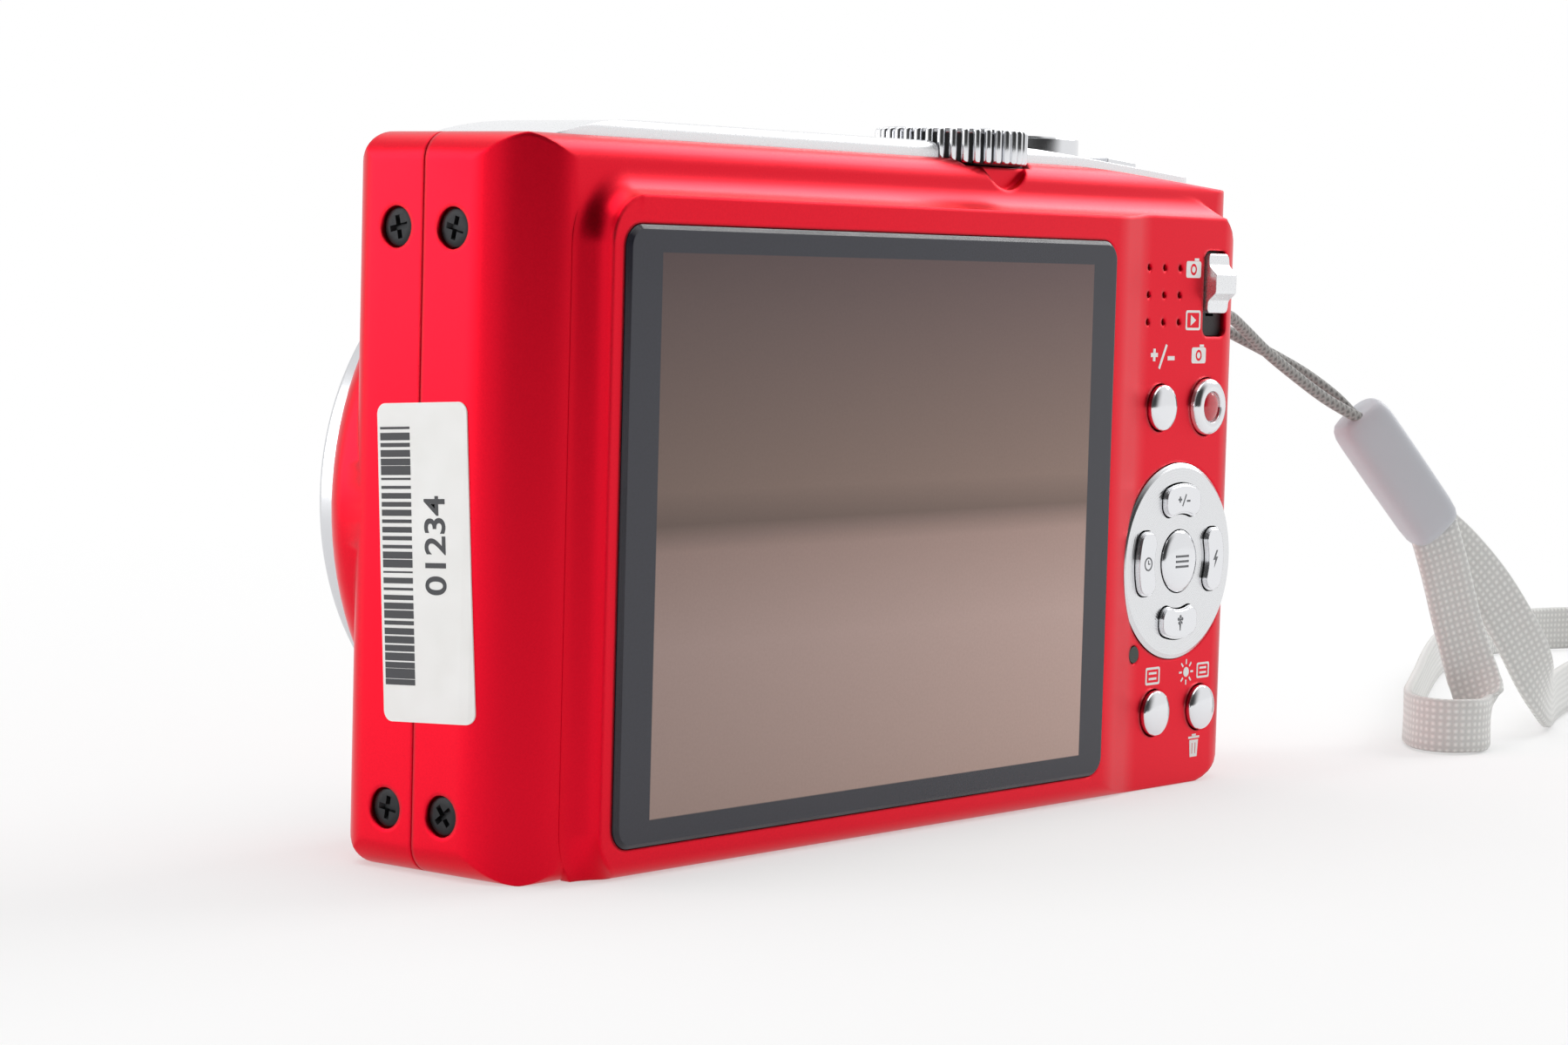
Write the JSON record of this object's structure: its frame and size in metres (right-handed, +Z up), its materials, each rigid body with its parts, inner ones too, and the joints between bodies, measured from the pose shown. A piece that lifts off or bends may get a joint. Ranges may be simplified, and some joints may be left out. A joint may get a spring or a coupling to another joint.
{
  "type": "compact digital camera",
  "caption": "Slim digital camera with a large rear screen, keys, cursor plate, mode dial, zoom lens that slides out, battery door, socket door and a wrist strap.",
  "frame": {"origin": "middle of the tripod socket's mouth, on the flat base", "axes": "+Z up, +X along the width towards the end with the screws and the label, +Y out of the screen, -Y out of the lens"},
  "size_m": [0.2579, 0.0495, 0.0624],
  "materials": {
    "red_paint": "satin red paint with a fine grain",
    "silk_silver": "silk anodised",
    "key_silver": "silver painted",
    "polished_silver": "polished",
    "screen_glass": "clear with a dark printed surround",
    "screen_layers": "grey brown, switched off",
    "clear_lens": "ribbed clear diffuser",
    "optical_glass": "coated",
    "reflector": "bright",
    "pressed_plate": "bare",
    "board_green": "solder resist",
    "sensor_blue": "dark blue",
    "black_plastic": "moulded, fine grain",
    "black_steel": "black oxide",
    "motor_steel": "plated",
    "sleeve_black": "wrapped in film",
    "card_blue": "moulded",
    "blade_steel": "matt black",
    "lamp_green": "translucent",
    "white_label": "printed white film",
    "strap_thread": "light grey woven",
    "strap_slide": "grey moulded"
  },
  "bodies": {
    "camera": {"front_shell": "red_paint", "rear_shell": "red_paint", "top_cover": "silk_silver", "lens_ring": "silk_silver", "flash_window": "clear_lens", "flash_tube": "reflector", "focus_lamp": "clear_lens", "screen_window": "screen_glass", "screen_panel": "screen_layers", "chassis": "pressed_plate", "main_board": "board_green", "lens_housing": "black_plastic", "image_sensor": "sensor_blue", "zoom_motor": "motor_steel", "flash_capacitor": "sleeve_black", "battery_case": "black_plastic", "battery": "sleeve_black", "memory_card": "card_blue", "tripod_socket": "polished_silver", "strap_eyelet": "polished_silver", "side_screws": "black_steel", "base_screws": "black_steel", "speaker": "black_plastic", "microphones": "black_plastic", "cursor_plate": "polished_silver", "status_light": "lamp_green", "switch_plate": "black_plastic", "key_board": "board_green", "av_sockets": "black_plastic", "label": "white_label", "strap_cord": "strap_thread", "strap_sleeve": "strap_slide", "strap_band": "strap_thread"},
    "dial": {"mode_dial": "silk_silver"},
    "zoom_ring": {"zoom_lever": "silk_silver"},
    "shutter": {"shutter_button": "silk_silver"},
    "power": {"power_switch": "silk_silver"},
    "play": {"play_switch": "key_silver"},
    "exposure": {"exposure_key": "key_silver"},
    "quick": {"quick_key": "key_silver"},
    "display": {"display_key": "key_silver"},
    "erase": {"erase_key": "key_silver"},
    "cursor_up_body": {"cursor_up": "key_silver"},
    "cursor_down_body": {"cursor_down": "key_silver"},
    "cursor_left_body": {"cursor_left": "key_silver"},
    "cursor_right_body": {"cursor_right": "key_silver"},
    "menu": {"menu_key": "key_silver"},
    "outer": {"barrel_outer": "silk_silver"},
    "middle": {"barrel_middle": "silk_silver"},
    "inner": {"barrel_inner": "black_plastic", "front_glass": "optical_glass"},
    "upper_inner": {"blade_upper_inner": "blade_steel"},
    "upper_outer": {"blade_upper_outer": "blade_steel"},
    "lower_inner": {"blade_lower_inner": "blade_steel"},
    "lower_outer": {"blade_lower_outer": "blade_steel"},
    "door": {"battery_door": "red_paint"},
    "latch": {"door_latch": "black_plastic"},
    "side_door": {"socket_door": "red_paint"}
  },
  "joints": [
    {"name": "dial_turn", "type": "hinge", "parent": "camera", "child": "dial", "pos_m": [-0.0114, 0.0028, 0.0607], "axis": [0, 0, 1], "continuous": true},
    {"name": "zoom_turn", "type": "hinge", "parent": "camera", "child": "zoom_ring", "pos_m": [-0.0291, -0.0026, 0.0615], "axis": [0, 0, 1], "range_deg": [-22, 22], "stiffness_Nm_per_rad": 0.02},
    {"name": "shutter_press", "type": "slide", "parent": "camera", "child": "shutter", "axis": [0, 0, -1], "range_m": [0, 0.0008], "stiffness_N_per_m": 800},
    {"name": "power_slide", "type": "slide", "parent": "camera", "child": "power", "axis": [-0.9976, 0, -0.0698], "range_m": [0, 0.003]},
    {"name": "play_slide", "type": "slide", "parent": "camera", "child": "play", "axis": [0, 0, -1], "range_m": [0, 0.002]},
    {"name": "exposure_press", "type": "slide", "parent": "camera", "child": "exposure", "axis": [0, -1, 0], "range_m": [0, 0.00035], "stiffness_N_per_m": 1500},
    {"name": "quick_press", "type": "slide", "parent": "camera", "child": "quick", "axis": [0, -1, 0], "range_m": [0, 0.00035], "stiffness_N_per_m": 1500},
    {"name": "display_press", "type": "slide", "parent": "camera", "child": "display", "axis": [0, -1, 0], "range_m": [0, 0.00035], "stiffness_N_per_m": 1500},
    {"name": "erase_press", "type": "slide", "parent": "camera", "child": "erase", "axis": [0, -1, 0], "range_m": [0, 0.00035], "stiffness_N_per_m": 1500},
    {"name": "up_press", "type": "slide", "parent": "camera", "child": "cursor_up_body", "axis": [0, -1, 0], "range_m": [0, 0.00035], "stiffness_N_per_m": 1500},
    {"name": "down_press", "type": "slide", "parent": "camera", "child": "cursor_down_body", "axis": [0, -1, 0], "range_m": [0, 0.00035], "stiffness_N_per_m": 1500},
    {"name": "left_press", "type": "slide", "parent": "camera", "child": "cursor_left_body", "axis": [0, -1, 0], "range_m": [0, 0.00035], "stiffness_N_per_m": 1500},
    {"name": "right_press", "type": "slide", "parent": "camera", "child": "cursor_right_body", "axis": [0, -1, 0], "range_m": [0, 0.00035], "stiffness_N_per_m": 1500},
    {"name": "menu_press", "type": "slide", "parent": "camera", "child": "menu", "axis": [0, -1, 0], "range_m": [0, 0.00035], "stiffness_N_per_m": 1500},
    {"name": "outer_slide", "type": "slide", "parent": "camera", "child": "outer", "axis": [0, -1, 0], "range_m": [0, 0.014]},
    {"name": "middle_slide", "type": "slide", "parent": "outer", "child": "middle", "axis": [0, -1, 0], "range_m": [0, 0.012]},
    {"name": "inner_slide", "type": "slide", "parent": "middle", "child": "inner", "axis": [0, -1, 0], "range_m": [0, 0.01]},
    {"name": "upper_inner_turn", "type": "hinge", "parent": "inner", "child": "upper_inner", "pos_m": [0.0382, -0.0189, 0.0293], "axis": [0, 1, 0], "range_deg": [0, 40]},
    {"name": "upper_outer_turn", "type": "hinge", "parent": "inner", "child": "upper_outer", "pos_m": [0.0382, -0.0184, 0.0293], "axis": [0, 1, 0], "range_deg": [0, 21]},
    {"name": "lower_inner_turn", "type": "hinge", "parent": "inner", "child": "lower_inner", "pos_m": [0.0118, -0.0189, 0.0293], "axis": [0, 1, 0], "range_deg": [0, 40]},
    {"name": "lower_outer_turn", "type": "hinge", "parent": "inner", "child": "lower_outer", "pos_m": [0.0118, -0.0184, 0.0293], "axis": [0, 1, 0], "range_deg": [0, 21]},
    {"name": "door_turn", "type": "hinge", "parent": "camera", "child": "door", "pos_m": [-0.0266, 0.00315, 0.00065], "axis": [1, 0, 0], "range_deg": [0, 95]},
    {"name": "latch_slide", "type": "slide", "parent": "door", "child": "latch", "axis": [1, 0, 0], "range_m": [0, 0.003]},
    {"name": "side_door_turn", "type": "hinge", "parent": "camera", "child": "side_door", "pos_m": [-0.05115, 0.00075, 0.0225], "axis": [0, 0, 1], "range_deg": [0, 95]}
  ],
  "couplings": [
    {"joint": "middle_slide", "follows": "outer_slide", "ratio": 0.85714},
    {"joint": "inner_slide", "follows": "outer_slide", "ratio": 0.71429},
    {"joint": "upper_outer_turn", "follows": "upper_inner_turn", "ratio": 0.525},
    {"joint": "lower_inner_turn", "follows": "upper_inner_turn", "ratio": 1},
    {"joint": "lower_outer_turn", "follows": "upper_inner_turn", "ratio": 0.525}
  ]
}
